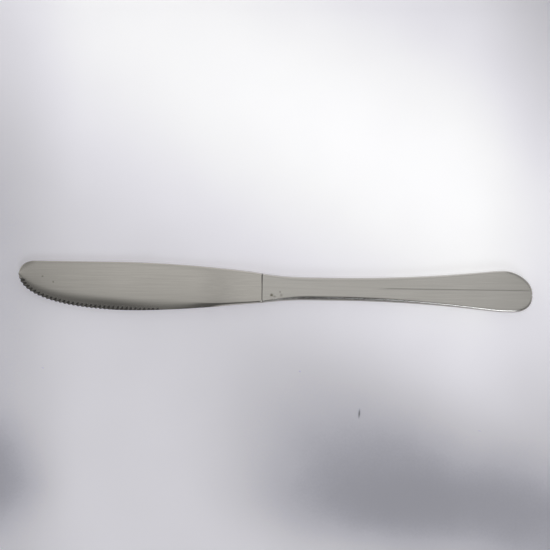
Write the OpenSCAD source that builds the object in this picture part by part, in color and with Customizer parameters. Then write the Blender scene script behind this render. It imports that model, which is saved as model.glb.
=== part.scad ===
// Table knife with a hollow handle, lying on its side on a table.
// X runs along the knife, from the tip at -X to the butt at +X. The cutting edge looks to -Y.
// Z points up from the table. The origin is the middle of the knife's footprint on the table.
// The modules are drawn about the joint: there X is zero where the handle's mouth is,
// Y is zero on the handle's centre line and Z is zero halfway through the knife's thickness.

/* [Blade] */
// Length of the blade, from the handle's mouth to the tip
blade_l = 102; // [90:1:120]
// Height of the back above the centre line, along its straight front part
back_rise = 10.2; // [8.5:0.1:12]
// Depth of the cutting edge below the centre line, at the belly
belly_drop = 10; // [8:0.1:11]
// Height of the foremost point of the tip above the centre line
tip_rise = 4.5; // [3:0.1:6.5]
// Length of the rounded nose, from the tip to the straight part of the back
nose_l = 7; // [5:0.5:12]
// Distance from the mouth to the straight part of the back
back_run = 58; // [45:1:70]
// Distance from the mouth to the deepest point of the belly
belly_run = 56; // [45:1:65]
// Thickness of the blade in front of the shoulder
root_t = 3.2; // [2.4:0.1:3.6]
// Thickness of the blade at the tip
tip_t = 1.5; // [1.2:0.1:2]
// Width of the softened strip along the back
back_round = 2.2; // [1:0.1:3]

/* [Grind] */
// Width of the ground bevel along the cutting edge
bevel_w = 4.5; // [3.4:0.1:5]
// Distance from the mouth at which the bevel has run out
bevel_end = 14; // [8:1:24]
// Length over which the bevel fades out
bevel_fade = 56; // [36:1:64]
// Thickness of the cutting edge, blunt as on any table knife
edge_t = 0.3; // [0.2:0.05:0.4]
// Thickness of the unground edge in front of the shoulder
heel_t = 1.6; // [1:0.1:2]
// Width of the softened strip along the unground edge
heel_round = 0.9; // [0.6:0.1:1.4]

/* [Serration] */
// Distance from one gullet to the next, along the edge
tooth_pitch = 1.9; // [1.7:0.1:2.6]
// Radius of the rib on the wheel that ground the gullets
tooth_r = 0.8; // [0.6:0.05:0.85]
// How far the gullets run up the bevel
tooth_reach = 2; // [1:0.1:2.4]
// How far below the middle of the edge a gullet's floor lies, where the bevel is full
tooth_dip = 0.32; // [0.2:0.02:0.4]
// Lean of the gullets away from square to the edge, in degrees
tooth_slant = 30; // [0:1:40]
// Distance from the tip to the first gullet, along the edge
serration_start = 2.5; // [2:0.5:8]
// Distance from the mouth at which the last gullet lies
serration_end = 42; // [35:1:60]

/* [Shoulder and tang] */
// Length over which the blade thickens into its shoulder
flare_l = 30; // [16:1:34]
// Length of the tang inside the handle
tang_l = 46; // [30:1:60]
// Width of the tang at the shoulder
tang_w = 5.6; // [4.5:0.1:6.4]
// Width of the tang at its end
tang_end_w = 3.8; // [3:0.1:4.4]
// Thickness of the tang
tang_t = 2.4; // [1.8:0.1:3]
// Depth of the notches that key the tang into the filling
notch_depth = 0.6; // [0.3:0.1:0.9]
// Length of each notch
notch_l = 3; // [2:0.5:4]

/* [Handle] */
// Length of the handle, from its mouth to the butt
handle_l = 112.5; // [100:0.5:125]
// Thickness of the handle
handle_t = 6; // [5.6:0.1:8]
// Width of the handle at its mouth
mouth_w = 12.5; // [11:0.1:13]
// Width of the handle along its slim neck
neck_w = 9.8; // [8.6:0.1:11]
// Width of the handle at its widest, near the butt
butt_w = 17.4; // [15:0.1:18.8]
// Distance from the mouth to the start of the neck
neck_start = 20; // [12:1:22]
// Distance from the mouth to the end of the neck
neck_end = 30; // [24:1:40]
// Length of the rounded butt, from the widest place to the end
butt_round = 12.2; // [9:0.2:16]
// How far the butt's end leans from the handle's centre line, towards the side of the cutting edge
butt_lean = 1.4; // [0:0.1:2]
// Length over which the butt takes up that lean
lean_l = 12; // [9:0.5:18]
// Wall of the pressed handle shells
wall = 0.7; // [0.5:0.05:0.9]
// Width of the rounding between a shell's flat and its side, at the mouth
mouth_corner_w = 1.1; // [0.9:0.1:1.8]
// Width of that rounding along the neck, where it is broadest
neck_corner_w = 2.1; // [1.4:0.1:2.6]
// Width of that rounding round the butt, where it is crispest
butt_corner_w = 1; // [0.9:0.1:1.8]
// Height of the rounding, measured through the thickness
corner_drop = 1.5; // [1.2:0.1:2.2]

/* [Pressed centre line] */
// Distance from the mouth at which the line begins
line_start = 44; // [40:1:70]
// Length over which the line reaches its full depth
line_lead = 9; // [5:1:15]
// Depth of the line
line_depth = 0.04; // [0.02:0.01:0.1]
// Radius of the line's shallow hollow
line_r = 7; // [4:0.5:9]

/* [Joints] */
// Gap between the shoulder and the handle's mouth, closed by the filling
joint_gap = 0.2; // [0.1:0.05:0.6]
// How far the filling stays below the surface in that gap
joint_recess = 0.12; // [0.05:0.01:0.2]
// Thickness of the solder between the two shells
seam_t = 0.15; // [0.1:0.01:0.25]
// How far the solder stays below the surface
seam_recess = 0.04; // [0.02:0.01:0.1]
// Clearance round the filling and round the tang
filling_fit = 0.05; // [0.02:0.01:0.1]

/* [Hidden] */

// Overrun of the solids that cut, past the faces that they cut
overrun = 1;
half_t = handle_t / 2;
// Outline of the back: where its two control points lie, along and up
back_shares = [[0.14, 0.42], [0.7, 1]];
// Outline of the nose: how far its control points reach along and up
nose_shares = [0.62, 0.6];
// Outline of the edge between the mouth and the belly, along and down
heel_shares = [[0.14, 0.13], [0.62, 1]];
// Outline of the edge between the belly and the tip: reach along and reach up
belly_shares = [0.64, 0.55];
// Outline of the handle from the mouth to the neck, along and in
mouth_shares = [[0.3, 0.6], [0.55, 1]];
// Outline of the handle from the neck to the widest place, along
swell_shares = [0.6, 0.9];
// Exponent of the butt's outline: 2 would be an ellipse, more is squarer
butt_power = 2.3;
// How softly the bevel runs into the flat, as a share of its width either side of its top
bevel_ease_share = 0.35;
// The same for the unground edge in front of the shoulder
heel_ease_share = 1;
// Points across that easing, from the flat towards the edge
ease_shares = [1, 0.3, -0.4];
// The softened back, from the flat out to the back itself: width and thickness
round_shares = [[1, 1], [0.6, 0.97], [0.28, 0.86], [0.08, 0.66], [0, 0.42]];
// Thickness of the flat where it meets the bevel, of its thickness at the back
face_share = 0.82;
// Most of the blade's width that the bevel and the softened back may take near the tip
bevel_limit_share = 0.235;
round_limit_share = 0.25;
// Length of the closely divided front of the blade
front_share = 0.3;
// Least width of the rounding inside a shell, of its width outside
inner_corner_share = 0.15;
// Places of the notches along the tang
notch_shares = [0.3, 0.55, 0.8];

curve_steps = 20;
fine_steps = 120;
front_steps = 20;
rear_steps = 42;
butt_steps = 14;
// How close to its very end the butt's outline is divided, in degrees
butt_last = 2;
corner_steps = len(round_shares) - 1;
// Small step along an outline, for its direction
nudge = tooth_pitch / 40;

function mix(a, b, share) = a + (b - a) * share;
function limited(share) = min(1, max(0, share));
function smooth(share) = pow(limited(share), 2) * (3 - 2 * limited(share));
function unit(v) = v / norm(v);

function bezier(p, t) =
    pow(1 - t, 3) * p[0] + 3 * t * pow(1 - t, 2) * p[1] + 3 * pow(t, 2) * (1 - t) * p[2] + pow(t, 3) * p[3];
function curve(p, steps) = [for (i = [0:steps]) bezier(p, i / steps)];
function tail(list) = [for (i = [1:len(list) - 1]) list[i]];
function reversed(list) = [for (i = [len(list) - 1:-1:0]) list[i]];
// Length of the step that leaves point i of a path
function step_length(path, i) = i + 1 < len(path) ? norm(path[i + 1] - path[i]) : 0;

// Blade outlines, both from the tip to the mouth
tip = [-blade_l, tip_rise];
nose_end = [-(blade_l - nose_l), back_rise];
back_end = [0, mouth_w / 2];
belly = [-belly_run, -belly_drop];
edge_end = [0, -mouth_w / 2];
belly_front = blade_l - belly_run;

back_path = concat(
    curve([
        tip,
        tip + [0, (back_rise - tip_rise) * nose_shares[1]],
        nose_end - [nose_l * nose_shares[0], 0],
        nose_end
    ], fine_steps),
    curve([
        [-back_run, back_rise],
        [-back_run * back_shares[1][0], mix(back_end[1], back_rise, back_shares[1][1])],
        [-back_run * back_shares[0][0], mix(back_end[1], back_rise, back_shares[0][1])],
        back_end
    ], fine_steps)
);
edge_path = concat(
    curve([
        tip,
        tip - [0, (tip_rise + belly_drop) * belly_shares[1]],
        belly - [belly_front * belly_shares[0], 0],
        belly
    ], fine_steps),
    tail(curve([
        belly,
        [-belly_run * heel_shares[1][0], mix(edge_end[1], belly[1], heel_shares[1][1])],
        [-belly_run * heel_shares[0][0], mix(edge_end[1], belly[1], heel_shares[0][1])],
        edge_end
    ], fine_steps))
);

// Direction square to an outline at x, towards the side given by turn
function square_to(path, x, turn) =
    let (rise = lookup(x + nudge, path) - lookup(x - nudge, path))
    turn * unit([-rise, 2 * nudge]);

// How far the bevel is present at x: 1 in front, 0 where it has run out
function bevel_at(x) = smooth((-x - bevel_end) / bevel_fade);
// How far the blade has turned into its shoulder at x
function flare_at(x) = smooth(1 + (x + joint_gap) / flare_l);
function blade_half_at(x) = mix(root_t, tip_t, -x / blade_l) / 2;
function edge_half_at(x) = mix(heel_t, edge_t, pow(bevel_at(x), 2)) / 2;

// Width of the rounding between flat and side, at a distance x behind the mouth
function corner_w_at(x) = mix(
    mix(mouth_corner_w, neck_corner_w, smooth(x / neck_start)),
    butt_corner_w,
    smooth((x - neck_end) / (widest - neck_end))
);
// That rounding seen in section, a skin's thickness inside: [distance in, height] from flat to side
function corner(x, skin) =
    let (width = max(corner_w_at(x) - skin, corner_w_at(x) * inner_corner_share))
    [
        for (i = [0:corner_steps])
            let (a = 90 * (1 - i / corner_steps))
            [
                skin + width * (1 - cos(a)),
                half_t - skin - (corner_drop - skin) * (1 - sin(a))
            ]
    ];

// One side of a section: its points from the top to the bottom, inwards from a point of the outline
function side_points(place, inward, profile) = concat(
    [for (p = profile) [each place + inward * p[0], p[1]]],
    [for (p = reversed(profile)) [each place + inward * p[0], -p[1]]]
);

// Height reached at a share q of the bevel's width: straight at first, then easing off into the flat
function eased(q, ease) = q < 1 - ease ? q : q - pow(q - 1 + ease, 2) / (4 * ease);

function edge_profile(x, blade_w) =
    let (
        width = min(mix(heel_round, bevel_w, bevel_at(x)), blade_w * bevel_limit_share),
        ease = mix(heel_ease_share, bevel_ease_share, bevel_at(x)),
        low = edge_half_at(x),
        high = blade_half_at(x) * face_share,
        marks = [for (share = ease_shares) 1 + ease * share]
    )
    [for (q = concat(marks, [marks[2] / 2, 0])) [width * q, mix(low, high, eased(q, ease))]];

function back_profile(x, blade_w) =
    let (width = min(back_round, blade_w * round_limit_share))
    [for (p = round_shares) [width * p[0], blade_half_at(x) * p[1]]];

function blade_section(x) =
    let (
        top = lookup(x, back_path),
        low = lookup(x, edge_path),
        flare = flare_at(x)
    )
    concat(
        side_points(
            [x, top],
            square_to(back_path, x, -1),
            mix(back_profile(x, top - low), corner(0, 0), flare)
        ),
        reversed(side_points(
            [x, low],
            square_to(edge_path, x, 1),
            mix(edge_profile(x, top - low), corner(0, 0), flare)
        ))
    );

// Handle outline on the +Y side, from the mouth to the butt
widest = handle_l - butt_round;
handle_path = concat(
    curve([
        [0, mouth_w / 2],
        [neck_start * mouth_shares[0][0], mix(mouth_w, neck_w, mouth_shares[0][1]) / 2],
        [neck_start * mouth_shares[1][0], mix(mouth_w, neck_w, mouth_shares[1][1]) / 2],
        [neck_start, neck_w / 2]
    ], curve_steps / 2),
    curve([
        [neck_end, neck_w / 2],
        [mix(neck_end, widest, swell_shares[0]), neck_w / 2],
        [mix(neck_end, widest, swell_shares[1]), butt_w / 2],
        [widest, butt_w / 2]
    ], curve_steps),
    [
        for (i = [1:butt_steps])
            let (a = mix(90, butt_last, i / butt_steps))
            [
                widest + butt_round * pow(cos(a), 2 / butt_power),
                butt_w / 2 * pow(sin(a), 2 / butt_power)
            ]
    ]
);
path_last = len(handle_path) - 1;

// How far the handle leans off its centre line at x
function lean_at(x) = butt_lean * smooth(1 + (x - handle_l) / lean_l);
// How far the leaning handle reaches on the side of the edge and on the side of the back
edge_side_reach = max([for (p = handle_path) p[1] + lean_at(p[0])]);
back_side_reach = max([for (p = handle_path) p[1] - lean_at(p[0])]);

// Direction into the handle, square to its outline, at point i of it
function inward_at(i) =
    i == 0 ? [0, -1] :
    i == path_last ? [-1, 0] :
    let (run = handle_path[i + 1] - handle_path[i - 1])
    unit([run[1], -run[0]]);

function across(v) = [v[0], -v[1]];

// Section of the handle through point i of its outline, a skin's thickness below the surface
function handle_section(i, skin) =
    let (profile = corner(handle_path[i][0], skin))
    [
        for (p = concat(
            side_points(handle_path[i], inward_at(i), profile),
            reversed(side_points(across(handle_path[i]), across(inward_at(i)), profile))
        ))
            p - [0, lean_at(p[0]), 0]
    ];
function moved(section, dx) = [for (p = section) p + [dx, 0, 0]];

// Outline of the handle in plan, inset by skin and lengthened past the mouth
function plan_outline(skin, past_mouth) =
    let (one_side = concat(
        [handle_path[0] + inward_at(0) * skin - [past_mouth, 0]],
        [for (i = [0:path_last]) handle_path[i] + inward_at(i) * skin]
    ))
    [for (p = concat(one_side, [for (q = reversed(one_side)) across(q)])) p - [0, lean_at(p[0])]];

// Closed skin through sections that run towards +X, each with its +Y side first
module loft(sections) {
    count = len(sections[0]);
    last = (len(sections) - 1) * count;
    polyhedron(
        points = [for (section = sections) each section],
        faces = concat(
            [
                for (i = [0:len(sections) - 2], j = [0:count - 1])
                    let (a = i * count + j, b = i * count + (j + 1) % count)
                    each [[a, b, b + count], [a, b + count, a + count]]
            ],
            [for (j = [0:count / 2 - 2]) [count - 1 - j, count - 2 - j, j + 1, j]],
            [for (j = [0:count / 2 - 2]) last * [1, 1, 1, 1] + [j, j + 1, count - 2 - j, count - 1 - j]]
        )
    );
}

// The handle's outer form, or the same form a skin's thickness inside it
module handle_form(skin, past_mouth) {
    loft(concat(
        past_mouth > 0 ? [moved(handle_section(0, skin), -past_mouth)] : [],
        [for (i = [0:path_last]) handle_section(i, skin)]
    ));
}

// Shallow hollow line along the middle of the flat, which rises out of it at the start
module centre_line() {
    translate([line_start, 0, half_t + line_r - line_depth])
        rotate([0, 90, 0]) {
            cylinder(h = line_lead, r1 = line_r - line_depth, r2 = line_r, $fn = 200);
            translate([0, 0, line_lead])
                cylinder(h = handle_l + overrun - line_start - line_lead, r = line_r, $fn = 200);
        }
}

module handle_shell() {
    difference() {
        handle_form(0, 0);
        handle_form(wall, overrun);
        translate([-overrun, -butt_w, -handle_t])
            cube([handle_l + 2 * overrun, 2 * butt_w, handle_t + seam_t / 2]);
        centre_line();
    }
}

// Flat tang, tapered and notched on both sides, grown by a clearance
module tang(grow, from) {
    notch_places = [for (share = notch_shares) tang_l * share];
    function half_at(x) = mix(tang_w, tang_end_w, limited(x / tang_l)) / 2 + grow;
    side = concat(
        [[from, half_at(0)]],
        [
            for (x = notch_places) each [
                [x - notch_l / 2 + grow, half_at(x)],
                [x - notch_l / 2 + grow + notch_depth, half_at(x) - notch_depth],
                [x + notch_l / 2 - grow - notch_depth, half_at(x) - notch_depth],
                [x + notch_l / 2 - grow, half_at(x)]
            ]
        ],
        [
            [tang_l - tang_end_w / 4 + grow, half_at(tang_l)],
            [tang_l + grow, half_at(tang_l) - tang_end_w / 4]
        ]
    );
    translate([0, 0, -tang_t / 2 - grow])
        linear_extrude(tang_t + 2 * grow)
            polygon(concat(side, [for (p = reversed(side)) across(p)]));
}

// Running length along the cutting edge, from the tip, with the place that it reaches
edge_marks = [
    for (i = 0, s = 0; i < len(edge_path); s = s + step_length(edge_path, i), i = i + 1)
        [s, edge_path[i]]
];
edge_x = [for (m = edge_marks) [m[0], m[1][0]]];
edge_y = [for (m = edge_marks) [m[0], m[1][1]]];
function edge_place(s) = [lookup(s, edge_x), lookup(s, edge_y)];

// Length along the edge from the tip to the place at which the serration ends
serration_l = lookup(-serration_end, [for (m = edge_marks) [m[1][0], m[0]]]);
tooth_count = floor((serration_l - serration_start) / tooth_pitch) + 1;
bevel_slope = (blade_half_at(-serration_end) * face_share - edge_t / 2) / bevel_w;
tooth_tilt = atan(bevel_slope + (edge_t / 2 + tooth_dip) / tooth_reach);

// The gullets: round grooves that climb from the edge until they leave the bevel
module gullets() {
    for (k = [0:tooth_count - 1]) {
        s = serration_start + k * tooth_pitch;
        place = edge_place(s);
        run = edge_place(s + nudge) - edge_place(s - nudge);
        floor_z = edge_half_at(place[0]) - (edge_t / 2 + tooth_dip) * bevel_at(place[0]);
        translate(place)
            rotate([0, 0, atan2(run[1], run[0]) + 90 - tooth_slant])
                rotate([0, -tooth_tilt, 0])
                    translate([-tooth_reach, 0, tooth_r + floor_z])
                        rotate([0, 90, 0])
                            cylinder(h = 3 * tooth_reach, r = tooth_r, $fn = 32);
    }
}

// Blade, shoulder and tang, forged in one piece, with its grind and its serration
module blade() {
    front_l = blade_l * front_share;
    rear_l = blade_l - front_l - joint_gap;
    places = concat(
        [for (i = [1:front_steps]) -blade_l + front_l * (1 - cos(90 * i / front_steps))],
        [for (i = [1:rear_steps]) -blade_l + front_l + rear_l * i / rear_steps]
    );
    color([0.64, 0.63, 0.61])
        place_knife() {
            difference() {
                loft([for (x = places) blade_section(x)]);
                gullets();
            }
            tang(0, -joint_gap - notch_l);
        }
}

// Pressed shells of the handle, one above and one below the seam
module upper_handle_shell() {
    color([0.67, 0.66, 0.64])
        place_knife()
            handle_shell();
}

module lower_handle_shell() {
    color([0.62, 0.61, 0.59])
        place_knife()
            mirror([0, 0, 1])
                handle_shell();
}

// Thin ribbon of hard solder all along the rim between the shells
module seam_solder() {
    color([0.72, 0.68, 0.58])
        place_knife()
            translate([0, 0, -seam_t / 2])
                linear_extrude(seam_t)
                    difference() {
                        polygon(plan_outline(seam_recess, 0));
                        polygon(plan_outline(wall, overrun));
                    }
}

// Cement that fills the handle, holds the tang and shows as a dark line at the joint
module handle_filling() {
    collar = handle_section(0, joint_recess);
    color([0.3, 0.28, 0.26])
        place_knife()
            difference() {
                union() {
                    handle_form(wall + filling_fit, joint_gap / 2);
                    loft([moved(collar, -joint_gap), collar]);
                }
                tang(filling_fit, -joint_gap - overrun);
            }
}

// From the joint's own axes to the knife's place on the table
module place_knife() {
    left = max(belly_drop, edge_side_reach);
    right = max(back_rise, back_side_reach);
    translate([(blade_l - handle_l) / 2, (left - right) / 2, half_t])
        children();
}

blade();
upper_handle_shell();
lower_handle_shell();
seam_solder();
handle_filling();
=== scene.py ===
"""A stainless table knife lying on its side on a pale table, seen from straight above."""

import math

import bmesh
import bpy
import numpy as np
from mathutils import Matrix, Vector


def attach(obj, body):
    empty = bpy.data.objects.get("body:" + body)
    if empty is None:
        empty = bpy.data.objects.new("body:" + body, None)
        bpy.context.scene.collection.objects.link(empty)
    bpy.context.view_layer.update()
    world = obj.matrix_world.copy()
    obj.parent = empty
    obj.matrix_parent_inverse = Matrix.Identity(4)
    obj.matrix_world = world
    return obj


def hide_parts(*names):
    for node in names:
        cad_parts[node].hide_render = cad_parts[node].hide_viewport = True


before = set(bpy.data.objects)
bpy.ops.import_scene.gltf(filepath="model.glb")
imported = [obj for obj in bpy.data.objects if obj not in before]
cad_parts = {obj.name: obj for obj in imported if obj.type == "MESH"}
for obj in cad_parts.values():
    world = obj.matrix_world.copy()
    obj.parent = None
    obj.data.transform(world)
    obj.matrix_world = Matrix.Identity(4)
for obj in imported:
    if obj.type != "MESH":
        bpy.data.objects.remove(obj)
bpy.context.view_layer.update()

MM = 0.001

# Sizes in millimetres and degrees, with the names and values of part.scad

# Blade
BLADE_L = 102.0
BACK_RISE = 10.2
BELLY_DROP = 10.0
TIP_RISE = 4.5
NOSE_L = 7.0
BACK_RUN = 58.0
BELLY_RUN = 56.0
ROOT_T = 3.2
TIP_T = 1.5
BACK_ROUND = 2.2

# Grind
BEVEL_W = 4.5
BEVEL_END = 14.0
BEVEL_FADE = 56.0
EDGE_T = 0.3
HEEL_T = 1.6
HEEL_ROUND = 0.9

# Serration
TOOTH_PITCH = 1.9
TOOTH_R = 0.8
TOOTH_REACH = 2.0
TOOTH_DIP = 0.32
TOOTH_SLANT = 30.0
SERRATION_START = 2.5
SERRATION_END = 42.0

# Shoulder and tang
FLARE_L = 30.0
TANG_L = 46.0
TANG_W = 5.6
TANG_END_W = 3.8
TANG_T = 2.4
NOTCH_DEPTH = 0.6
NOTCH_L = 3.0

# Handle
HANDLE_L = 112.5
HANDLE_T = 6.0
MOUTH_W = 12.5
NECK_W = 9.8
BUTT_W = 17.4
NECK_START = 20.0
NECK_END = 30.0
BUTT_ROUND = 12.2
BUTT_LEAN = 1.4
LEAN_L = 12.0
WALL = 0.7
MOUTH_CORNER_W = 1.1
NECK_CORNER_W = 2.1
BUTT_CORNER_W = 1.0
CORNER_DROP = 1.5

# Pressed centre line
LINE_START = 44.0
LINE_LEAD = 9.0
LINE_DEPTH = 0.04
LINE_R = 7.0

# Joints
JOINT_GAP = 0.2
SEAM_T = 0.15

# Shares of those sizes, which give the outlines and sections their form
BACK_SHARES = ((0.14, 0.42), (0.7, 1.0))
NOSE_SHARES = (0.62, 0.6)
HEEL_SHARES = ((0.14, 0.13), (0.62, 1.0))
BELLY_SHARES = (0.64, 0.55)
MOUTH_SHARES = ((0.3, 0.6), (0.55, 1.0))
SWELL_SHARES = (0.6, 0.9)
BUTT_POWER = 2.3
BEVEL_EASE_SHARE = 0.35
HEEL_EASE_SHARE = 1.0
FACE_SHARE = 0.82
BEVEL_LIMIT_SHARE = 0.235
ROUND_LIMIT_SHARE = 0.25
INNER_CORNER_SHARE = 0.15
NOTCH_SHARES = (0.3, 0.55, 0.8)

HALF_T = HANDLE_T / 2

# What only this script has: the finer forms and the division of the meshes

# Radius of both lips of the joint, and the turns at which it has a section
LIP_R = 0.03
LIP_TURNS = (22.5, 45.0, 67.5, 90.0)
# The softened back: its thickness at the very back as a share of the blade's, the exponent of
# its outline, and how much closer its points stand towards the back
BACK_T_SHARE = 0.42
BACK_POWER = 2.3
BACK_CROWDING = 1.9
# Steps along the outlines, which are fine because sections are looked up in them
NOSE_STEPS = 3000
BACK_POINTS = 400
SHOULDER_STEPS = 1200
BELLY_STEPS = 6000
HEEL_STEPS = 3000
# Sections of the blade: the distance between them along the serration and behind it, the first
# one's distance from the tip, how far past the serration they stand close, and how many of them
# share one section of the flat and the back
EDGE_STEP = 0.06
REAR_STEP = 0.55
FIRST_S = 0.02
PAST_SERRATION = 1.2
FINE = 8
# Places across the blade: on the softened back, on the flat, on the ground side that is seen
# and on the one below
BODY_T = np.linspace(1, 0, 11)
FLAT_T = np.linspace(0, 1, 8)[1:-1]
STRIP_Q = np.concatenate([np.linspace(1, 0.55, 9)[:-1], np.linspace(0.55, 0, 25)])
UNDER_Q = np.concatenate([np.linspace(1, 0.45, 7)[:-1], np.linspace(0.45, 0, 6)])
# Where a gullet cuts right through the edge: the distances in from the edge that are tried, the
# most of the bevel that may go, and the steel that stays below a gullet
PROBE = np.linspace(0, 1.2, 61)
CUT_LIMIT_SHARE = 0.8
LEAST_T = 0.02
# How much of its radius a gullet takes up, short of its upright rim, and its half length in reaches
GULLET_SHARE = 0.999
GULLET_REACHES = 3
# Height that stands for no gullet and no line
NO_FLOOR = 99.0
# The mark of the ground gullets, which carries their painted shade, between 0 and 1: what it
# would be at their floor, and the height over which it falls by 1
GULLET_SHADE_FULL = 1.2
GULLET_SHADE_FADE = 0.2
# Steps along the handle's outline, and the butt's angles in degrees
MOUTH_STEPS = 36
NECK_POINTS = 16
SWELL_STEPS = 100
BUTT_ANGLES = np.concatenate([np.linspace(90, 12, 53)[1:], np.geomspace(11, 0.25, 18)])
# Places across the handle's flat: close together by the pressed line, as far as this share of the
# half width, and spread out beyond it, or evenly where the flat is narrow
LINE_PLACES = np.array([0.12, 0.25, 0.38, 0.5, 0.6, 0.7, 0.8, 0.95])
LINE_SHARE = 0.9
SPREAD_SHARES = np.linspace(1, 0, 7)[1:-1]
LEAST_SPACING = 0.05
FLAT_POINTS = 13
NARROW_SHARES = np.linspace(0.9, 0.05, FLAT_POINTS)
CORNER_T = np.linspace(1, 0, 15)
# Where the butt leans, the middle of the flat stays straight, and leans in full this far out. It
# begins to lean where the flat's half width falls to STRAIGHT_FROM + STRAIGHT_FADE, and leans like
# the rest below STRAIGHT_FROM.
STRAIGHT_HALF = 2.5
STRAIGHT_FROM = 2.0
STRAIGHT_FADE = 2.0
# Points nearer than this are one, in metres, and edges sharper than this stay sharp, in degrees
MERGE = 1e-7
SHARP = 32.0

# From the mouth's middle, about which all is drawn, to the frame: the blade reaches further to
# both sides than the handle does
PLACE = np.array([(BLADE_L - HANDLE_L) / 2, (BELLY_DROP - BACK_RISE) / 2, HALF_T])


def smooth(t):
    """Smooth step: 0 up to t = 0 and 1 from t = 1."""
    t = np.clip(t, 0, 1)
    return t * t * (3 - 2 * t)


def mix(a, b, t):
    """Value between a, at t = 0, and b, at t = 1."""
    return a + (b - a) * t


def bezier(points, steps):
    """Points of the cubic curve with these four control points."""
    t = np.linspace(0, 1, steps + 1)[:, None]
    r = 1 - t
    a, b, c, d = (np.asarray(p, float) for p in points)
    return r ** 3 * a + 3 * t * r ** 2 * b + 3 * t ** 2 * r * c + t ** 3 * d


def straight(start, end, y, count):
    """Points between two places along the knife, at one distance from its centre line."""
    return np.stack([np.linspace(start, end, count)[1:-1], np.full(count - 2, y)], axis=1)


def unit(v):
    return v / np.linalg.norm(v, axis=-1, keepdims=True)


def turned(d):
    """Directions turned a quarter to the left."""
    return np.stack([-d[:, 1], d[:, 0]], axis=1)


def along(where, places, values):
    """Points or directions looked up between those at the given places."""
    return np.stack([np.interp(where, places, values[:, k]) for k in (0, 1)], axis=-1)


# Blade outlines, from the tip to the mouth
half_mouth = MOUTH_W / 2
back_path = np.concatenate([
    bezier([
        (-BLADE_L, TIP_RISE),
        (-BLADE_L, TIP_RISE + (BACK_RISE - TIP_RISE) * NOSE_SHARES[1]),
        (-BLADE_L + NOSE_L * (1 - NOSE_SHARES[0]), BACK_RISE),
        (-BLADE_L + NOSE_L, BACK_RISE),
    ], NOSE_STEPS),
    straight(-BLADE_L + NOSE_L, -BACK_RUN, BACK_RISE, BACK_POINTS),
    bezier([
        (-BACK_RUN, BACK_RISE),
        (-BACK_RUN * BACK_SHARES[1][0], BACK_RISE),
        (-BACK_RUN * BACK_SHARES[0][0], mix(half_mouth, BACK_RISE, BACK_SHARES[0][1])),
        (0, half_mouth),
    ], SHOULDER_STEPS),
])
edge_path = np.concatenate([
    bezier([
        (-BLADE_L, TIP_RISE),
        (-BLADE_L, TIP_RISE - (TIP_RISE + BELLY_DROP) * BELLY_SHARES[1]),
        (-BELLY_RUN - (BLADE_L - BELLY_RUN) * BELLY_SHARES[0], -BELLY_DROP),
        (-BELLY_RUN, -BELLY_DROP),
    ], BELLY_STEPS),
    bezier([
        (-BELLY_RUN, -BELLY_DROP),
        (-BELLY_RUN * HEEL_SHARES[1][0], -BELLY_DROP),
        (-BELLY_RUN * HEEL_SHARES[0][0], mix(-half_mouth, -BELLY_DROP, HEEL_SHARES[0][1])),
        (0, -half_mouth),
    ], HEEL_STEPS)[1:],
])
back_dir = unit(np.gradient(back_path, axis=0))
edge_dir = unit(np.gradient(edge_path, axis=0))
edge_len = np.concatenate([[0], np.cumsum(np.linalg.norm(np.diff(edge_path, axis=0), axis=1))])


def edge_at(s):
    """Points of the edge, a distance s along it from the tip."""
    return along(s, edge_len, edge_path)


def edge_dir_at(s):
    return unit(along(s, edge_len, edge_dir))


def blade_half(x):
    """Half thickness of the blade at its back."""
    return mix(ROOT_T, TIP_T, -x / BLADE_L) / 2


def bevel_at(x):
    """How far the bevel has faded in: 0 in front of the shoulder and 1 along the front."""
    return smooth((-x - BEVEL_END) / BEVEL_FADE)


def flare_at(x):
    """How far the section has become the handle's: 0 in front of the shoulder, 1 at the joint."""
    return smooth(1 + (x + JOINT_GAP) / FLARE_L)


def ease_at(x):
    """How softly the bevel runs into the face: the share of its width on either side of its top."""
    return mix(HEEL_EASE_SHARE, BEVEL_EASE_SHARE, bevel_at(x))


def edge_half(x):
    """Half thickness of the cutting edge, or of the unground edge behind it."""
    return mix(HEEL_T, EDGE_T, bevel_at(x) ** 2) / 2


def corner_w(x):
    """Width of the rounding between a flat and a side, a distance x from the mouth."""
    w = mix(MOUTH_CORNER_W, NECK_CORNER_W, smooth(x / NECK_START))
    return mix(w, BUTT_CORNER_W, smooth((x - NECK_END) / (HANDLE_L - BUTT_ROUND - NECK_END)))


def corner(t, skin=0.0, x=0.0):
    """Rounding between a flat and a side, a distance skin below the surface: t is 0 on the flat
    and 1 on the side. Gives (distance in, height)."""
    a = np.radians(90 * (1 - t))
    w = corner_w(x)
    inner = max(w - skin, w * INNER_CORNER_SHARE)
    return skin + inner * (1 - np.cos(a)), HALF_T - skin - (CORNER_DROP - skin) * (1 - np.sin(a))


def face_height(x, u, width, span):
    """Half thickness of the gently domed face, a distance u in from the edge. The bevel has this
    width, and the dome ends at span."""
    top = (1 + ease_at(x)) * width
    dome = (np.clip(span - u, 0, None) / (span - top)) ** 2
    return blade_half(x) * (1 - (1 - FACE_SHARE) * dome)


def edge_height(x, u, width, span):
    """Half thickness of the ground side, a distance u in from the edge."""
    ease = ease_at(x)
    q = np.clip(u / width, 0, 1 + ease)
    rise = np.where(q < 1 - ease, q, q - (q - 1 + ease) ** 2 / (4 * ease))
    drop = face_height(x, 0, width, span) - edge_half(x)
    return face_height(x, u, width, span) - drop * (1 - np.minimum(rise, 1))


def back_shape(x, t, blade_w):
    """Softened back: t is 0 on the flat and 1 on the back. Gives (distance in, height)."""
    width = np.minimum(BACK_ROUND, blade_w * ROUND_LIMIT_SHARE)
    q = (1 - t) ** BACK_CROWDING
    return width * q, blade_half(x) * mix(BACK_T_SHARE, 1, np.sqrt(1 - (1 - q) ** BACK_POWER))


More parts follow.
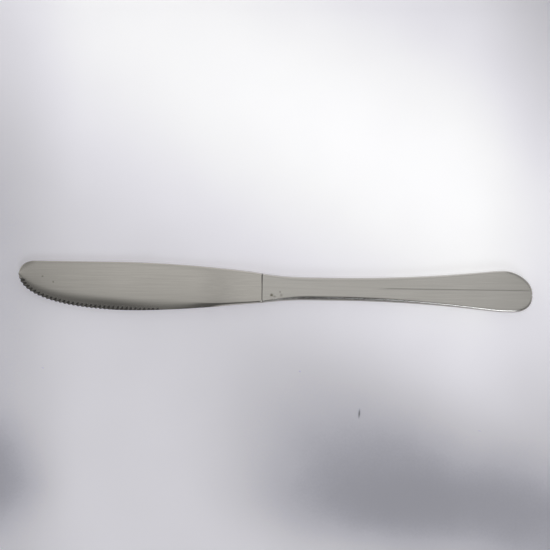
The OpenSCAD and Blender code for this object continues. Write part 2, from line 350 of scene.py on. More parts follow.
# Serration: slanted, climbing, round gullets, whose floors lie TOOTH_DIP below the blade's middle
# at the edge and meet the bevel TOOTH_REACH further in
serration_l = np.interp(-SERRATION_END, edge_path[:, 0], edge_len)
tooth_count = int((serration_l - SERRATION_START) / TOOTH_PITCH) + 1
tooth_s = SERRATION_START + TOOTH_PITCH * np.arange(tooth_count)
bevel_slope = (blade_half(-SERRATION_END) * FACE_SHARE - EDGE_T / 2) / BEVEL_W
tooth_drop = EDGE_T / 2 + TOOTH_DIP
tooth_tilt = math.atan(bevel_slope + tooth_drop / TOOTH_REACH)
tooth_place = edge_at(tooth_s)
tooth_floor = edge_half(tooth_place[:, 0]) - tooth_drop * bevel_at(tooth_place[:, 0])
tooth_angle = np.arctan2(*edge_dir_at(tooth_s).T[::-1]) + math.radians(90 - TOOTH_SLANT)
tooth_dir = np.stack([np.cos(tooth_angle), np.sin(tooth_angle)], axis=1)


def gullet_floor(points):
    """Height of the gullets' floors over points in the plane, and NO_FLOOR where there is none."""
    floor = np.full(len(points), NO_FLOOR)
    for place, d, rise in zip(tooth_place, tooth_dir, tooth_floor):
        w = points - place
        u = w @ d
        v = w @ np.array([-d[1], d[0]])
        inside = (np.abs(v) < TOOTH_R * GULLET_SHARE) & (np.abs(u) < GULLET_REACHES * TOOTH_REACH)
        z = TOOTH_R + rise - np.sqrt(np.maximum(TOOTH_R ** 2 - v[inside] ** 2, 0))
        climbed = (z + u[inside] * math.sin(tooth_tilt)) / math.cos(tooth_tilt)
        floor[inside] = np.minimum(floor[inside], climbed)
    return floor


# Meshes
def add(obj):
    """Puts an object in the scene."""
    bpy.context.scene.collection.objects.link(obj)
    return obj


def new_object(name, verts, faces):
    """Mesh object from points in millimetres about the mouth, smooth but for its sharp edges."""
    mesh = bpy.data.meshes.new(name)
    mesh.from_pydata(((np.asarray(verts) + PLACE) * MM).tolist(), [], faces)
    bm = bmesh.new()
    bm.from_mesh(mesh)
    bmesh.ops.remove_doubles(bm, verts=bm.verts, dist=MERGE)
    bmesh.ops.dissolve_degenerate(bm, edges=bm.edges, dist=MERGE)
    bmesh.ops.recalc_face_normals(bm, faces=bm.faces)
    for f in bm.faces:
        f.smooth = True
    for e in bm.edges:
        if len(e.link_faces) == 2:
            e.smooth = e.calc_face_angle(0) < math.radians(SHARP)
    bm.to_mesh(mesh)
    bm.free()
    return add(bpy.data.objects.new(name, mesh))


def bridge(p, q):
    """Faces between two rows of equally many points."""
    return [(p[j], p[j + 1], q[j + 1], q[j]) for j in range(len(p) - 1)]


def closing(upper, lower, i, end):
    """Face between the upper and the lower rows of two neighbouring sections, at their one end."""
    return (upper[i][end], lower[i][end], lower[i + 1][end], upper[i + 1][end])


def tang_outline():
    """Outline of the tang inside the handle, notched on both sides."""
    def half_at(x):
        return mix(TANG_W, TANG_END_W, min(max(x / TANG_L, 0), 1)) / 2

    side = [(-JOINT_GAP - NOTCH_L, half_at(0))]
    for share in NOTCH_SHARES:
        x = TANG_L * share
        side += [
            (x - NOTCH_L / 2, half_at(x)),
            (x - NOTCH_L / 2 + NOTCH_DEPTH, half_at(x) - NOTCH_DEPTH),
            (x + NOTCH_L / 2 - NOTCH_DEPTH, half_at(x) - NOTCH_DEPTH),
            (x + NOTCH_L / 2, half_at(x)),
        ]
    chamfer = TANG_END_W / 4
    side += [(TANG_L - chamfer, half_at(TANG_L)), (TANG_L, half_at(TANG_L) - chamfer)]
    return side + [(x, -y) for x, y in side[::-1]]


def blade_places():
    """Places of the blade's sections along its edge and along the knife, and how many of them
    stand close together along the serration."""
    s_end = serration_l + PAST_SERRATION
    s_front = np.linspace(FIRST_S, s_end, int(s_end / EDGE_STEP / FINE) * FINE + 1)
    n_front = len(s_front)
    x_front = edge_at(s_front)[:, 0]
    rear_points = int((-x_front[-1] - JOINT_GAP) / REAR_STEP) + 1
    x_rear = np.linspace(x_front[-1], -JOINT_GAP - LIP_R, rear_points)[1:]
    x = np.concatenate([x_front, x_rear])
    s = np.interp(x, edge_path[:, 0], edge_len)
    s[:n_front] = s_front
    return s, x, n_front


def cut_in(at, height):
    """How far in from the edge a gullet cuts right through. The points and the half thickness of
    the blade there are those at the distances in PROBE."""
    cut = np.nonzero(gullet_floor(at) < -height)[0]
    return PROBE[cut[-1]] + (PROBE[1] - PROBE[0]) / 2 if len(cut) else 0.0


def across_flat(inner, outer):
    """Points of the blade's flat, between the softened back and the ground side."""
    return [(*mix(inner[:2], outer[:2], t), mix(inner[2], outer[2], t ** 2)) for t in FLAT_T]


def mark_gullet_shade(obj):
    """Marks the ground gullets and their rims, where the steel is painted dark as shade."""
    at = np.array([v.co for v in obj.data.vertices]) / MM - PLACE
    above = np.abs(gullet_floor(at[:, :2]) - at[:, 2])
    # the attribute carries the gullets' painted shade
    mark = obj.data.attributes.new("cut", "FLOAT", "POINT")
    mark.data.foreach_set("value", np.clip(GULLET_SHADE_FULL - above / GULLET_SHADE_FADE, 0, 1).astype(np.float32))


def build_blade():
    """Blade, shoulder and tang. Each section is two strips, which hold the ground side above and
    below. Every FINE sections, and at each one behind the serration, two bodies hold the rest."""
    s_all, x_all, n_front = blade_places()
    low = edge_at(s_all)
    top_y = np.interp(x_all, back_path[:, 0], back_path[:, 1])
    back_in = -turned(unit(along(x_all, back_path[:, 0], back_dir)))
    edge_in = turned(edge_dir_at(s_all))
    blade_w = top_y - low[:, 1]
    width = np.minimum(mix(HEEL_ROUND, BEVEL_W, bevel_at(x_all)), blade_w * BEVEL_LIMIT_SHARE)

    verts, strips_top, strips_low, bodies_top, bodies_low, coarse = [], [], [], [], [], []

    def put(points):
        """Takes points up and gives their numbers."""
        first = len(verts)
        verts.extend(points)
        return list(range(first, first + len(points)))

    last = len(x_all) - 1
    sections = [(k, 0.0) for k in range(len(x_all))]
    # the last section is drawn in further and further, as the lip of the shoulder
    sections += [(last, math.radians(turn)) for turn in LIP_TURNS]
    for k, turn in sections:
        x, w, flare = x_all[k], width[k], flare_at(x_all[k])
        skin, dx = LIP_R * (1 - math.cos(turn)), LIP_R * math.sin(turn)
        span = blade_w[k] - min(BACK_ROUND, blade_w[k] * ROUND_LIMIT_SHARE)
        start = 0.0
        if k < n_front:
            start = cut_in(low[k] + edge_in[k] * PROBE[:, None], edge_height(x, PROBE, w, span))
        start = min(start, w * CUT_LIMIT_SHARE)
        end = (1 + ease_at(x)) * w

        def flared(u, h, t):
            """The blade's distance in and height, taken to the handle's: t as in corner()."""
            corner_u, corner_h = corner(t)
            sunk = skin * smooth((1 - t) * 2)
            return mix(u, corner_u, flare) + skin, mix(h, corner_h, flare) - sunk

        def strip(q, side):
            """Points of the ground side, from q = 1 on the face to q = 0 on the edge."""
            u = start + (end - start) * q
            u, h = flared(u, edge_height(x, u, w, span), 1 - q)
            at = low[k] + edge_in[k] * u[:, None] + [dx, 0]
            z = h * side
            if side > 0 and k < n_front:
                z = np.minimum(z, np.maximum(gullet_floor(at), -h + LEAST_T))
            return [(*p, zz) for p, zz in zip(at, z)]

        upper_strip, lower_strip = put(strip(STRIP_Q, 1)), put(strip(UNDER_Q, -1))
        strips_top.append(upper_strip)
        strips_low.append(lower_strip)
        if k % FINE and k < n_front - 1:
            continue
        coarse.append(len(strips_top) - 1)
        u, h = flared(*back_shape(x, BODY_T, blade_w[k]), BODY_T)
        at = np.array([x, top_y[k]]) + back_in[k] * u[:, None] + [dx, 0]
        for side, bodies, row in ((1, bodies_top, upper_strip), (-1, bodies_low, lower_strip)):
            points = [(*p, zz * side) for p, zz in zip(at, h)]
            points += across_flat(np.array(points[-1]), np.array(verts[row[0]]))
            bodies.append(put(points))

    faces = []
    for i in range(len(strips_top) - 1):
        for strips in (strips_top, strips_low):
            faces += bridge(strips[i], strips[i + 1])
        faces.append(closing(strips_top, strips_low, i, -1))
    for c in range(len(coarse) - 1):
        for bodies, strips in ((bodies_top, strips_top), (bodies_low, strips_low)):
            faces += bridge(bodies[c], bodies[c + 1])
            fan = [strips[i][0] for i in range(coarse[c], coarse[c + 1] + 1)]
            faces.append([bodies[c][-1]] + fan + [bodies[c + 1][-1]])
        faces.append(closing(bodies_top, bodies_low, c, 0))
    for c, i in ((0, 0), (-1, -1)):
        faces.append(bodies_top[c] + strips_top[i] + strips_low[i][::-1] + bodies_low[c][::-1])

    above, below = (put([(x, y, side * TANG_T / 2) for x, y in tang_outline()]) for side in (1, -1))
    n = len(above)
    faces += [above, below[::-1]]
    faces += [(above[j], above[(j + 1) % n], below[(j + 1) % n], below[j]) for j in range(n)]
    obj = new_object("knife_blade", verts, faces)
    mark_gullet_shade(obj)
    return obj


# Handle outline, +Y side, from the mouth to the butt
widest = HANDLE_L - BUTT_ROUND
butt_a = np.radians(BUTT_ANGLES)
handle_path = np.concatenate([
    bezier([
        (0, MOUTH_W / 2),
        (NECK_START * MOUTH_SHARES[0][0], mix(MOUTH_W, NECK_W, MOUTH_SHARES[0][1]) / 2),
        (NECK_START * MOUTH_SHARES[1][0], NECK_W / 2),
        (NECK_START, NECK_W / 2),
    ], MOUTH_STEPS),
    straight(NECK_START, NECK_END, NECK_W / 2, NECK_POINTS),
    bezier([
        (NECK_END, NECK_W / 2),
        (mix(NECK_END, widest, SWELL_SHARES[0]), NECK_W / 2),
        (mix(NECK_END, widest, SWELL_SHARES[1]), BUTT_W / 2),
        (widest, BUTT_W / 2),
    ], SWELL_STEPS),
    np.stack([
        widest + BUTT_ROUND * np.cos(butt_a) ** (2 / BUTT_POWER),
        BUTT_W / 2 * np.sin(butt_a) ** (2 / BUTT_POWER),
    ], axis=1),
])
handle_in = -turned(unit(np.gradient(handle_path, axis=0)))
handle_in[0], handle_in[-1] = (0, -1), (-1, 0)


def lean_at(x):
    """How far the butt leans off the handle's centre line, towards the side of the cutting edge."""
    return BUTT_LEAN * smooth(1 + (x - HANDLE_L) / LEAN_L)


def line_floor(x, y):
    """Height of the pressed line's floor over points of the upper shell."""
    r = mix(LINE_R - LINE_DEPTH, LINE_R, np.clip((x - LINE_START) / LINE_LEAD, 0, 1))
    inside = (np.abs(y) < r) & (x > LINE_START)
    z = HALF_T + LINE_R - LINE_DEPTH - np.sqrt(np.maximum(r ** 2 - y ** 2, 0))
    return np.where(inside, z, NO_FLOOR)


def flat_places(half):
    """Places across the handle's flat of this half width, always equally many."""
    near = LINE_PLACES[LINE_PLACES < half * LINE_SHARE]
    spread = half * SPREAD_SHARES
    spread = spread[spread > (near[-1] if len(near) else 0) + LEAST_SPACING]
    ys = np.concatenate([spread, near[::-1]])
    if len(ys) > 1:
        ys = np.interp(np.linspace(0, 1, FLAT_POINTS), np.linspace(0, 1, len(ys)), ys)
    else:
        ys = half * NARROW_SHARES
    return np.concatenate([ys, [0], -ys[::-1]])


def shell_section(i, skin, dx=0.0, inner=False):
    """Points of the upper shell's section from one rim over the flat to the other, a distance skin
    below the surface and moved by dx."""
    u, h = corner(CORNER_T, skin, handle_path[i][0])
    u = np.concatenate([[u[0]], u])
    h = np.concatenate([[SEAM_T / 2], h])
    right = handle_path[i] + handle_in[i] * u[:, None]
    left = right * [1, -1]
    x, half = right[-1]
    ys = flat_places(half)
    # the middle of the flat keeps to the straight centre line until the very end of the butt
    straight_share = smooth((half - STRAIGHT_FROM) / STRAIGHT_FADE)
    leaning = mix(1, smooth(np.abs(ys) / STRAIGHT_HALF), straight_share)
    flat = np.stack([np.full(len(ys), x), ys - lean_at(x) * leaning], axis=1)
    for side in (right, left):
        side[:, 1] -= lean_at(side[:, 0])
    xy = np.concatenate([right, flat, left[::-1]])
    z = np.concatenate([h, np.full(len(ys), HALF_T - skin), h[::-1]])
    if not inner:
        z = np.minimum(z, line_floor(xy[:, 0], xy[:, 1]))
    return np.column_stack([xy[:, 0] + dx, xy[:, 1], z])


def build_shell(name, up):
    """One pressed shell: its outside and its inside, one wall further in, joined along the rim."""
    turns = [math.radians(a) for a in (*LIP_TURNS[::-1], 0.0)]
    lips = [(LIP_R * (1 - math.cos(a)), LIP_R * (1 - math.sin(a))) for a in turns]
    rest = [i for i in range(1, len(handle_path)) if handle_path[i][0] > LIP_R]
    outer = [shell_section(0, drawn_in, dx) for drawn_in, dx in lips]
    outer += [shell_section(i, 0.0) for i in rest]
    inner = [shell_section(0, WALL, dx, True) for _, dx in lips]
    inner += [shell_section(i, WALL, 0.0, True) for i in rest]
    verts = np.concatenate([np.concatenate([o, i[::-1]]) for o, i in zip(outer, inner)])
    n = len(outer[0])
    m = 2 * n
    faces = []
    for k in range(len(outer) - 1):
        a = k * m
        faces += [(a + j, a + (j + 1) % m, a + m + (j + 1) % m, a + m + j) for j in range(m)]
    for a in (0, (len(outer) - 1) * m):
        faces += [(a + j, a + j + 1, a + m - 2 - j, a + m - 1 - j) for j in range(n - 1)]
    if not up:
        verts = verts * [1, 1, -1]
    return new_object(name, verts, faces)


blade = build_blade()
upper = build_shell("handle_upper", True)
lower = build_shell("handle_lower", False)
for piece, node, slot in (
    (blade, "blade", "blade_steel"),
    (upper, "upper_handle_shell", "handle_steel"),
    (lower, "lower_handle_shell", "handle_steel"),
):
    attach(piece, "root")
    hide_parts(node)


# Node materials
class Graph:
    """Short hand for building a node tree."""

    def __init__(self, tree):
        self.tree = tree
        tree.nodes.clear()

    def node(self, kind, inputs=None, **settings):
        """New node with these settings, whose inputs are values or other nodes' outputs."""
        n = self.tree.nodes.new(kind)
        for key, value in settings.items():
            setattr(n, key, value)
        for key, value in (inputs or {}).items():
            if isinstance(value, bpy.types.NodeSocket):
                self.tree.links.new(value, n.inputs[key])
            else:
                n.inputs[key].default_value = value
        return n

    def math(self, op, *values):
        """Result of one operation, done again with each further value where there are many."""
        result, *others = values
        if not others:
            return self.node("ShaderNodeMath", {0: result}, operation=op).outputs[0]
        for value in others:
            result = self.node("ShaderNodeMath", {0: result, 1: value}, operation=op).outputs[0]
        return result

    def plus(self, *values):
        return self.math("ADD", *values)

    def minus(self, *values):
        return self.math("SUBTRACT", *values)

    def times(self, *values):
        return self.math("MULTIPLY", *values)

    def most(self, *values):
        return self.math("MAXIMUM", *values)

    def least(self, *values):
        return self.math("MINIMUM", *values)

    def vector(self, op, a, b=(0, 0, 0)):
        return self.node("ShaderNodeVectorMath", {0: a, 1: b}, operation=op).outputs[0]

    def length(self, a):
        return self.node("ShaderNodeVectorMath", {0: a}, operation="LENGTH").outputs["Value"]

    def split(self, a):
        """The three components of a vector."""
        return self.node("ShaderNodeSeparateXYZ", {0: a}).outputs

    def ramp(self, value, lo, hi, out_lo=0.0, out_hi=1.0):
        """Smooth step from out_lo at lo to out_hi at hi."""
        return self.node("ShaderNodeMapRange", {
            "Value": value, "From Min": lo, "From Max": hi, "To Min": out_lo, "To Max": out_hi,
        }, interpolation_type="SMOOTHSTEP").outputs[0]

    def blend(self, share, a, b):
        """Colour a, and b where the share is 1. A mix node's colours are its inputs 6 and 7."""
        return self.node("ShaderNodeMix", {0: share, 6: a, 7: b}, data_type="RGBA").outputs[2]

    def noise(self, vector, scale, detail, rough):
        return self.node("ShaderNodeTexNoise", {
            "Vector": vector, "Scale": scale, "Detail": detail, "Roughness": rough,
        }).outputs[0]

    def place(self, vector, scale, turn=(0, 0, 0), move=(0, 0, 0)):
        return self.node("ShaderNodeMapping", {
            "Vector": vector, "Location": move, "Rotation": turn, "Scale": scale,
        }).outputs[0]

    def streaks(self, mm, along_x, across_x, detail, rough, turn=0.0, move=(0, 0, 0)):
        """Noise drawn out along X, with its scales along and across, and its turn in radians."""
        return self.noise(
            self.place(mm, (along_x, across_x, across_x), (0, 0, turn), move), 1.0, detail, rough
        )

    def millimetres(self):
        """Place on the object, in millimetres."""
        here = self.node("ShaderNodeTexCoord").outputs["Object"]
        return self.place(here, (1 / MM, 1 / MM, 1 / MM))

    def surface(self, inputs, height, bump):
        """Principled surface with these inputs, and a bump of this strength and depth in metres."""
        strength, depth = bump
        normal = self.node("ShaderNodeBump", {
            "Height": height, "Strength": strength, "Distance": depth,
        }).outputs[0]
        return self.node("ShaderNodeBsdfPrincipled", {**inputs, "Normal": normal}).outputs[0]

    def end(self, surface, kind="ShaderNodeOutputMaterial"):
        self.node(kind, {"Surface": surface})


def new_material(name):
    mat = bpy.data.materials.new(name)
    mat.use_nodes = True
    return mat, Graph(mat.node_tree)


# Stains on the steel: middle along and across and radius in millimetres, and depth
BLADE_STAINS = ((-97.1, 3.6, 0.5, 0.35), (-92.6, 1.4, 0.5, 0.3))
HANDLE_STAINS = (
    (-1.4, -2.9, 0.75, 0.75),
    (2.1, -1.5, 0.45, 0.4),
    (2.6, -2.9, 0.7, 0.25),
    (-0.2, -3.4, 0.6, 0.3),
)
STAIN_COLOUR = (0.16, 0.15, 0.1, 1)
# Painted shade in the gullets: their steel is darkened to stand in for the shade there
GULLET_SHADE_COLOUR = (0.05, 0.048, 0.045, 1)
# The steel's colour in the grain's dark and light streaks and under grease, as shares of its own
DARK_SHARES = (0.95, 0.95, 0.95)
LIGHT_SHARES = (1.035, 1.035, 1.035)
GREASE_SHARES = (0.8, 0.82, 0.74)
# How much of the colour the smudges and the painted shade in the gullets take, and what each
# mark adds to the roughness
SMUDGE_TINT = 0.14
GULLET_SHADE_TINT = 0.9
SMUDGE_ROUGH = 0.07
CUT_ROUGH = 0.35
SCRATCH_ROUGH = 0.08
STAIN_ROUGH = 0.2
# The grain's and the scratches' height, as shares of the bump's depth
GRAIN_HEIGHT = 0.8
SCRATCH_HEIGHT = -0.4
# Bumps, with their strength and their depth in metres: the steel's grain, the dull materials'
# grains and the paper's weave
GRAIN_BUMP = (0.35, 0.000008)
DULL_BUMP = (0.4, 0.00003)
WEAVE_BUMP = (0.2, 0.0001)


def shaded(colour, shares):
    """A colour with each of its three parts multiplied by its share."""
    return tuple(c * share for c, share in zip(colour, shares)) + (1,)


def steel(name, colour, rough, stains):
    """Worn stainless steel: grain along X, smudges, fine scratches, a few stains and painted shade
    in the gullets.
    """
    mat, g = new_material(name)
    mm = g.millimetres()
    fine = g.streaks(mm, 0.12, 9, 5, 0.7)
    broad = g.streaks(mm, 0.05, 2.4, 3, 0.5)
    smudge = g.streaks(mm, 0.05, 0.09, 4, 0.6)
    scratch = g.most(
        g.ramp(g.streaks(mm, 0.1, 5, 2, 0.4, 0.35), 0.72, 0.78),
        g.ramp(g.streaks(mm, 0.14, 6, 2, 0.4, -0.22, (7, 3, 1)), 0.73, 0.78),
    )
    stain = 0.0
    for x, y, r, depth in stains:
        away = g.length(g.vector("MULTIPLY", g.vector("SUBTRACT", mm, (x, y, 0)), (1, 1, 0)))
        ragged = g.plus(away, g.times(g.minus(g.noise(mm, 2.2, 3, 0.55), 0.5), r * 1.3))
        stain = g.most(stain, g.ramp(ragged, r * 0.35, r * 1.15, depth, 0.0))
    # the gullets' mark, which darkens their steel as painted shade
    cut = g.node("ShaderNodeAttribute", attribute_name="cut").outputs["Fac"]

    tone = g.plus(g.times(fine, 0.35), g.times(broad, 0.65))
    dark, light = shaded(colour, DARK_SHARES), shaded(colour, LIGHT_SHARES)
    base = g.blend(g.ramp(tone, 0.3, 0.7), dark, light)
    base = g.blend(g.times(smudge, SMUDGE_TINT), base, shaded(colour, GREASE_SHARES))
    base = g.blend(stain, base, STAIN_COLOUR)
    # painted shade: the gullets are darkened
    base = g.blend(g.times(cut, GULLET_SHADE_TINT), base, GULLET_SHADE_COLOUR)
    # smudges leave the roughness as it is on average
    roughness = g.plus(
        rough - SMUDGE_ROUGH / 2,
        g.times(smudge, SMUDGE_ROUGH),
        g.times(cut, CUT_ROUGH),
        g.times(scratch, SCRATCH_ROUGH),
        g.times(stain, STAIN_ROUGH),
    )
    height = g.plus(g.times(fine, GRAIN_HEIGHT), g.times(scratch, SCRATCH_HEIGHT))
    inputs = {"Base Color": base, "Metallic": 1.0, "Roughness": roughness}
    g.end(g.surface(inputs, height, GRAIN_BUMP))
    return mat


def dull(name, dark, light, metallic, rough, scale):
    """A matt material with fine grains: the solder and the cement."""
    mat, g = new_material(name)
    grains = g.noise(g.millimetres(), scale, 6, 0.65)
    inputs = {
        "Base Color": g.blend(g.ramp(grains, 0.35, 0.65), dark + (1,), light + (1,)),
        "Metallic": metallic,
        "Roughness": g.ramp(grains, 0.3, 0.7, rough - 0.06, rough + 0.06),
    }
    g.end(g.surface(inputs, grains, DULL_BUMP))
    return mat


def dress(obj, mat):
    """Gives an object this one material."""
    obj.data.materials.clear()
    obj.data.materials.append(mat)


handle_steel = steel("handle_steel", (0.612, 0.598, 0.568), 0.15, HANDLE_STAINS)
dress(blade, steel("blade_steel", (0.63, 0.61, 0.572), 0.17, BLADE_STAINS))
dress(upper, handle_steel)
dress(lower, handle_steel)
solder = dull("solder", (0.5, 0.47, 0.4), (0.62, 0.59, 0.51), 1.0, 0.4, 3.0)
cement = dull("cement", (0.06, 0.055, 0.05), (0.13, 0.12, 0.11), 0.0, 0.8, 4.0)
dress(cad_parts["seam_solder"], solder)
dress(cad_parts["handle_filling"], cement)

# Table: a square of quads with pale paper on it, sizes in metres
TABLE_HALF = 1.6
TABLE_STEPS = 8
# How bright a white table looks in the room's own light, and the whitest that paper gets
TABLE_LIGHT = 0.467
WHITEST = 0.92
# How bright the paper is painted, its painted light and shade included: in general, in all
# directions further out, at least, how softly it falls to that, and at most
PAPER = 0.64
PAPER_FAR = 0.78
PAPER_LEAST = 0.3
LEAST_SOFTNESS = 0.14
PAPER_MOST = 0.99
# How much its mottles and its weave vary that, and their scales per millimetre
MOTTLE = 0.06
MOTTLE_SCALE = 0.05
WEAVE = 0.05
WEAVE_SCALE = 0.9
# Ramps over the table, with both ends in millimetres and the values there: the painted falloff
# of light at the left and the right, how far the painted shadows show, and how uneven the painted
# light is around the knife
LEFT_FALL = (-76, -121, 0.0, 0.13)
RIGHT_FALL = (77, 117, 0.0, 0.14)
NEAR_FADE = (-119, -82, 0.12, 1.0)
UNEVEN = (165, 320, 1.0, 0.0)
# Soft patches, a painted pool of light and painted shadows: middle, half length and half width in
# millimetres, turn in radians, and how much brighter or darker the paper is painted there
PAINTED_LIGHT_POOL = (57, 51, 468, 106, -0.462, 0.35)
PAINTED_SHADOWS = ((201, -297, 108, 378, 0.668, 1.82), (-124, -84, 42, 44, 0.0, 0.25))
# Specks: the same, and the share of the paper's brightness that they take
SPECKS = (
    (36.2, -52.4, 2.9, 0.65, 1.5, 0.75),
    (87.0, -59.0, 1.5, 0.5, -0.2, 0.2),
    (-97.4, -35.0, 1.2, 0.7, -0.5, 0.25),
    (10.9, -35.0, 0.7, 0.6, 0.0, 0.3),
    (-53.1, 14.3, 0.8, 0.6, 0.3, 0.25),
)
# The paper's tint where its painted light is dim, middling and bright
DARK_TINT = (0.94, 0.945, 1.06, 1)
MIDDLE_TINT = (0.975, 0.965, 1.03, 1)
BRIGHT_TINT = (0.995, 0.995, 1.01, 1)
PAPER_ROUGH = 0.75
PAPER_SPECULAR = 0.2


def patch(g, mm, x, y, long, short, turn, depth):
    """Soft elliptical patch: its depth in its middle and 0 at its rim."""
    c, s = math.cos(turn), math.sin(turn)
    about = g.place(mm, (1, 1, 1), (0, 0, -turn), (-(x * c + y * s), x * s - y * c, 0))
    out = g.length(g.vector("MULTIPLY", about, (1 / long, 1 / short, 0)))
    return g.times(g.ramp(out, 0, 1, 1.0, 0.0), depth)


def paper_tone(g, mm, weave):
    """How bright the paper is painted: a painted pool of light makes it brightest beyond the
    handle, and painted shadow darkest at the near right.
    """
    x, y, _ = g.split(mm)
    mottle = g.noise(mm, MOTTLE_SCALE, 4, 0.6)
    shown = g.ramp(y, *NEAR_FADE)
    # painted light and shade: a pool of light, falloff to the left and the right, and shadows
    bright = g.minus(
        g.plus(PAPER, patch(g, mm, *PAINTED_LIGHT_POOL)),
        g.ramp(x, *LEFT_FALL),
        g.ramp(x, *RIGHT_FALL),
        *(g.times(patch(g, mm, *dark), shown) for dark in PAINTED_SHADOWS),
    )
    for noise, depth in ((mottle, MOTTLE), (weave, WEAVE)):
        bright = g.plus(bright, g.times(g.minus(noise, 0.5), depth))
    bright = g.node("ShaderNodeMath", {
        0: bright, 1: PAPER_LEAST, 2: LEAST_SOFTNESS,
    }, operation="SMOOTH_MAX").outputs[0]
    bright = g.least(bright, PAPER_MOST)
    uneven = g.ramp(g.length(mm), *UNEVEN)
    bright = g.plus(g.times(uneven, g.minus(bright, PAPER_FAR)), PAPER_FAR)
    for speck in SPECKS:
        bright = g.times(bright, g.minus(1.0, patch(g, mm, *speck)))
    return bright


def paper(name):
    """Pale paper with painted light and shade. What the room's light can't give, it shows as a glow
    to the camera and to reflections only."""
    mat, g = new_material(name)
    mm = g.millimetres()
    weave = g.noise(mm, WEAVE_SCALE, 4, 0.6)
    bright = paper_tone(g, mm, weave)
    tint = g.blend(g.ramp(bright, 0.3, 0.6), DARK_TINT, MIDDLE_TINT)
    tint = g.blend(g.ramp(bright, 0.75, 0.95), tint, BRIGHT_TINT)
    white = g.least(g.math("DIVIDE", bright, TABLE_LIGHT), WHITEST)
    extra = g.most(g.minus(bright, WHITEST * TABLE_LIGHT), 0.0)
    ray = g.node("ShaderNodeLightPath").outputs
    looks = g.most(ray["Is Camera Ray"], ray["Is Glossy Ray"], ray["Is Transmission Ray"])
    inputs = {
        "Base Color": g.blend(white, (0, 0, 0, 1), tint),
        "Roughness": PAPER_ROUGH,
        "Specular IOR Level": PAPER_SPECULAR,
    }
    lit = g.surface(inputs, weave, WEAVE_BUMP)
    # the painted light that the room's light can't give, shown as glow
    glow = g.node("ShaderNodeEmission", {"Color": tint, "Strength": g.times(looks, extra)})
    g.end(g.node("ShaderNodeAddShader", {0: lit, 1: glow.outputs[0]}).outputs[0])
    return mat


def build_table():
    """The table's top, level with the frame's zero height."""
    mesh = bpy.data.meshes.new("table_top")
    ticks = [-TABLE_HALF + 2 * TABLE_HALF * i / TABLE_STEPS for i in range(TABLE_STEPS + 1)]
    row = TABLE_STEPS + 1
    corners = [j * row + i for j in range(TABLE_STEPS) for i in range(TABLE_STEPS)]
    quads = [(a, a + 1, a + row + 1, a + row) for a in corners]
    mesh.from_pydata([(x, y, 0) for y in ticks for x in ticks], [], quads)
    mesh.materials.append(paper("table_paper"))
    return add(bpy.data.objects.new("table_top", mesh))


table = build_table()

# Light: a soft room that is bright overhead and dark on the near side, and a window there
ROOM_COLOUR = (1.0, 0.99, 0.975, 1)
WINDOW_COLOUR = (0.93, 0.95, 1.0, 1)
BACKDROP_COLOUR = (0.88, 0.88, 0.9, 1)
# The room's own level, and what is left of it low on the near side, at its left and its right
LEVEL = 0.12
NEAR_LEFT = 0.1
NEAR_RIGHT = 0.045
# How much brighter it is overhead and towards the far side from there, and what share of that is
# left at its left and its right
OVERHEAD = 0.52
OVERHEAD_FAR = 0.45
LEFT_SHARE = 0.4
RIGHT_SHARE = 0.3
# How much brighter it is elsewhere, and in the window
NEAR_HORIZON = 0.33
NEAR_CORNERS = 0.2
FAR_WALL = 0.12
SIDE_WALLS = 0.45
WINDOW = 6.5


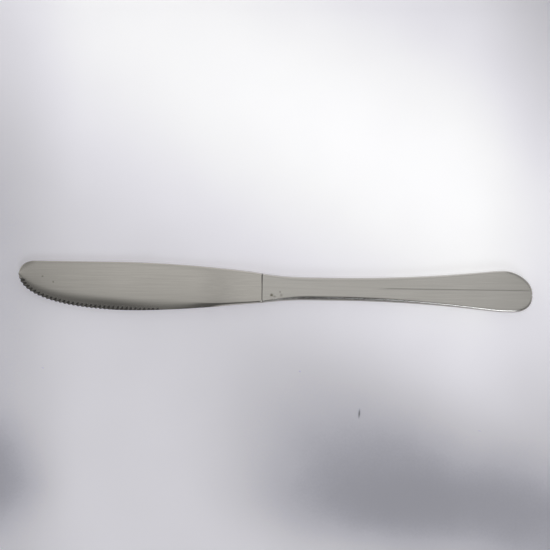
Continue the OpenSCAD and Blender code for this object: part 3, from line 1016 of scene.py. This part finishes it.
def build_room():
    """The world's light by its direction: dx along the knife, dy to its far side and dz up."""
    world = bpy.data.worlds.new("soft_room")
    bpy.context.scene.world = world
    world.use_nodes = True
    g = Graph(world.node_tree)
    dx, dy, dz = g.split(g.node("ShaderNodeTexCoord").outputs["Generated"])
    beside = g.math("ABSOLUTE", dx)
    overhead = g.times(
        g.ramp(dy, -0.31, -0.03),
        g.ramp(dx, -0.33, -0.2, LEFT_SHARE, 1.0),
        g.ramp(dx, 0.23, 0.36, 1.0, RIGHT_SHARE),
        g.ramp(dy, 0.05, 0.35, OVERHEAD, OVERHEAD_FAR),
    )
    # the dark on the near side reaches higher at the right
    near_y = g.minus(dy, g.ramp(dx, 0.0, 0.1, 0.0, 0.2))
    near = g.ramp(dx, -0.08, 0.02, NEAR_LEFT, NEAR_RIGHT)
    low = g.ramp(near_y, -0.55, -0.33, near, LEVEL)
    near_horizon = g.times(g.ramp(dz, 0.6, 0.25, 0.0, NEAR_HORIZON), g.ramp(dy, -0.5, -0.8))
    near_corners = g.times(g.ramp(beside, 0.38, 0.6, 0.0, NEAR_CORNERS), g.ramp(dy, 0.0, -0.35))
    far_wall = g.ramp(dy, 0.55, 0.9, 0.0, FAR_WALL)
    side_walls = g.times(g.ramp(beside, 0.5, 0.9, 0.0, SIDE_WALLS), g.ramp(dy, -0.35, 0.0))
    level = g.plus(overhead, low, near_horizon, near_corners, far_wall, side_walls)
    # the window is behind the viewer's right shoulder
    window = g.times(
        g.ramp(dx, 0.13, 0.165),
        g.ramp(dx, 0.22, 0.36, 1.0, 0.0),
        g.ramp(dy, -0.45, -0.51),
        g.ramp(dy, -0.7, -0.82, 1.0, 0.0),
        g.ramp(dz, 0.0, 0.2),
        WINDOW,
    )
    room, pane, backdrop = (
        g.node("ShaderNodeBackground", {"Color": colour, "Strength": strength}).outputs[0]
        for colour, strength in (
            (ROOM_COLOUR, level), (WINDOW_COLOUR, window), (BACKDROP_COLOUR, 1.0)
        )
    )
    light = g.node("ShaderNodeAddShader", {0: room, 1: pane}).outputs[0]
    seen = g.node("ShaderNodeLightPath").outputs["Is Camera Ray"]
    shown = g.node("ShaderNodeMixShader", {0: seen, 1: light, 2: backdrop}).outputs[0]
    g.end(shown, "ShaderNodeOutputWorld")


build_room()

# Camera: straight above, turned a little, with the frame's origin at ORIGIN_PX of the picture
ELEV = math.radians(90.0)
ROLL = math.radians(0.8)
PICTURE_PX = 550
FOCAL_PX = 900.0
PX_PER_MM = 2.373
MIDDLE_PX = (275.0, 275.0)
ORIGIN_PX = (275.1, 288.0)
SENSOR = 36
CLIP = (0.01, 20)


def build_camera():
    """The camera, as far off as puts one millimetre on PX_PER_MM of the picture."""
    back = Vector((0, -math.cos(ELEV), math.sin(ELEV)))
    level_right = Vector((1, 0, 0))
    level_up = back.cross(level_right)
    right = level_right * math.cos(ROLL) + level_up * math.sin(ROLL)
    up = level_up * math.cos(ROLL) - level_right * math.sin(ROLL)
    reach = FOCAL_PX / PX_PER_MM * MM
    eye = back * reach
    eye -= right * ((ORIGIN_PX[0] - MIDDLE_PX[0]) / FOCAL_PX * reach)
    eye += up * ((ORIGIN_PX[1] - MIDDLE_PX[1]) / FOCAL_PX * reach)
    cam = bpy.data.cameras.new("camera")
    cam.sensor_width = SENSOR
    cam.lens = FOCAL_PX / PICTURE_PX * SENSOR
    cam.clip_start, cam.clip_end = CLIP
    obj = add(bpy.data.objects.new("camera", cam))
    obj.matrix_world = Matrix.Translation(eye) @ Matrix((right, up, back)).transposed().to_4x4()
    return obj


bpy.context.scene.camera = build_camera()
bpy.context.scene.view_settings.view_transform = "Standard"
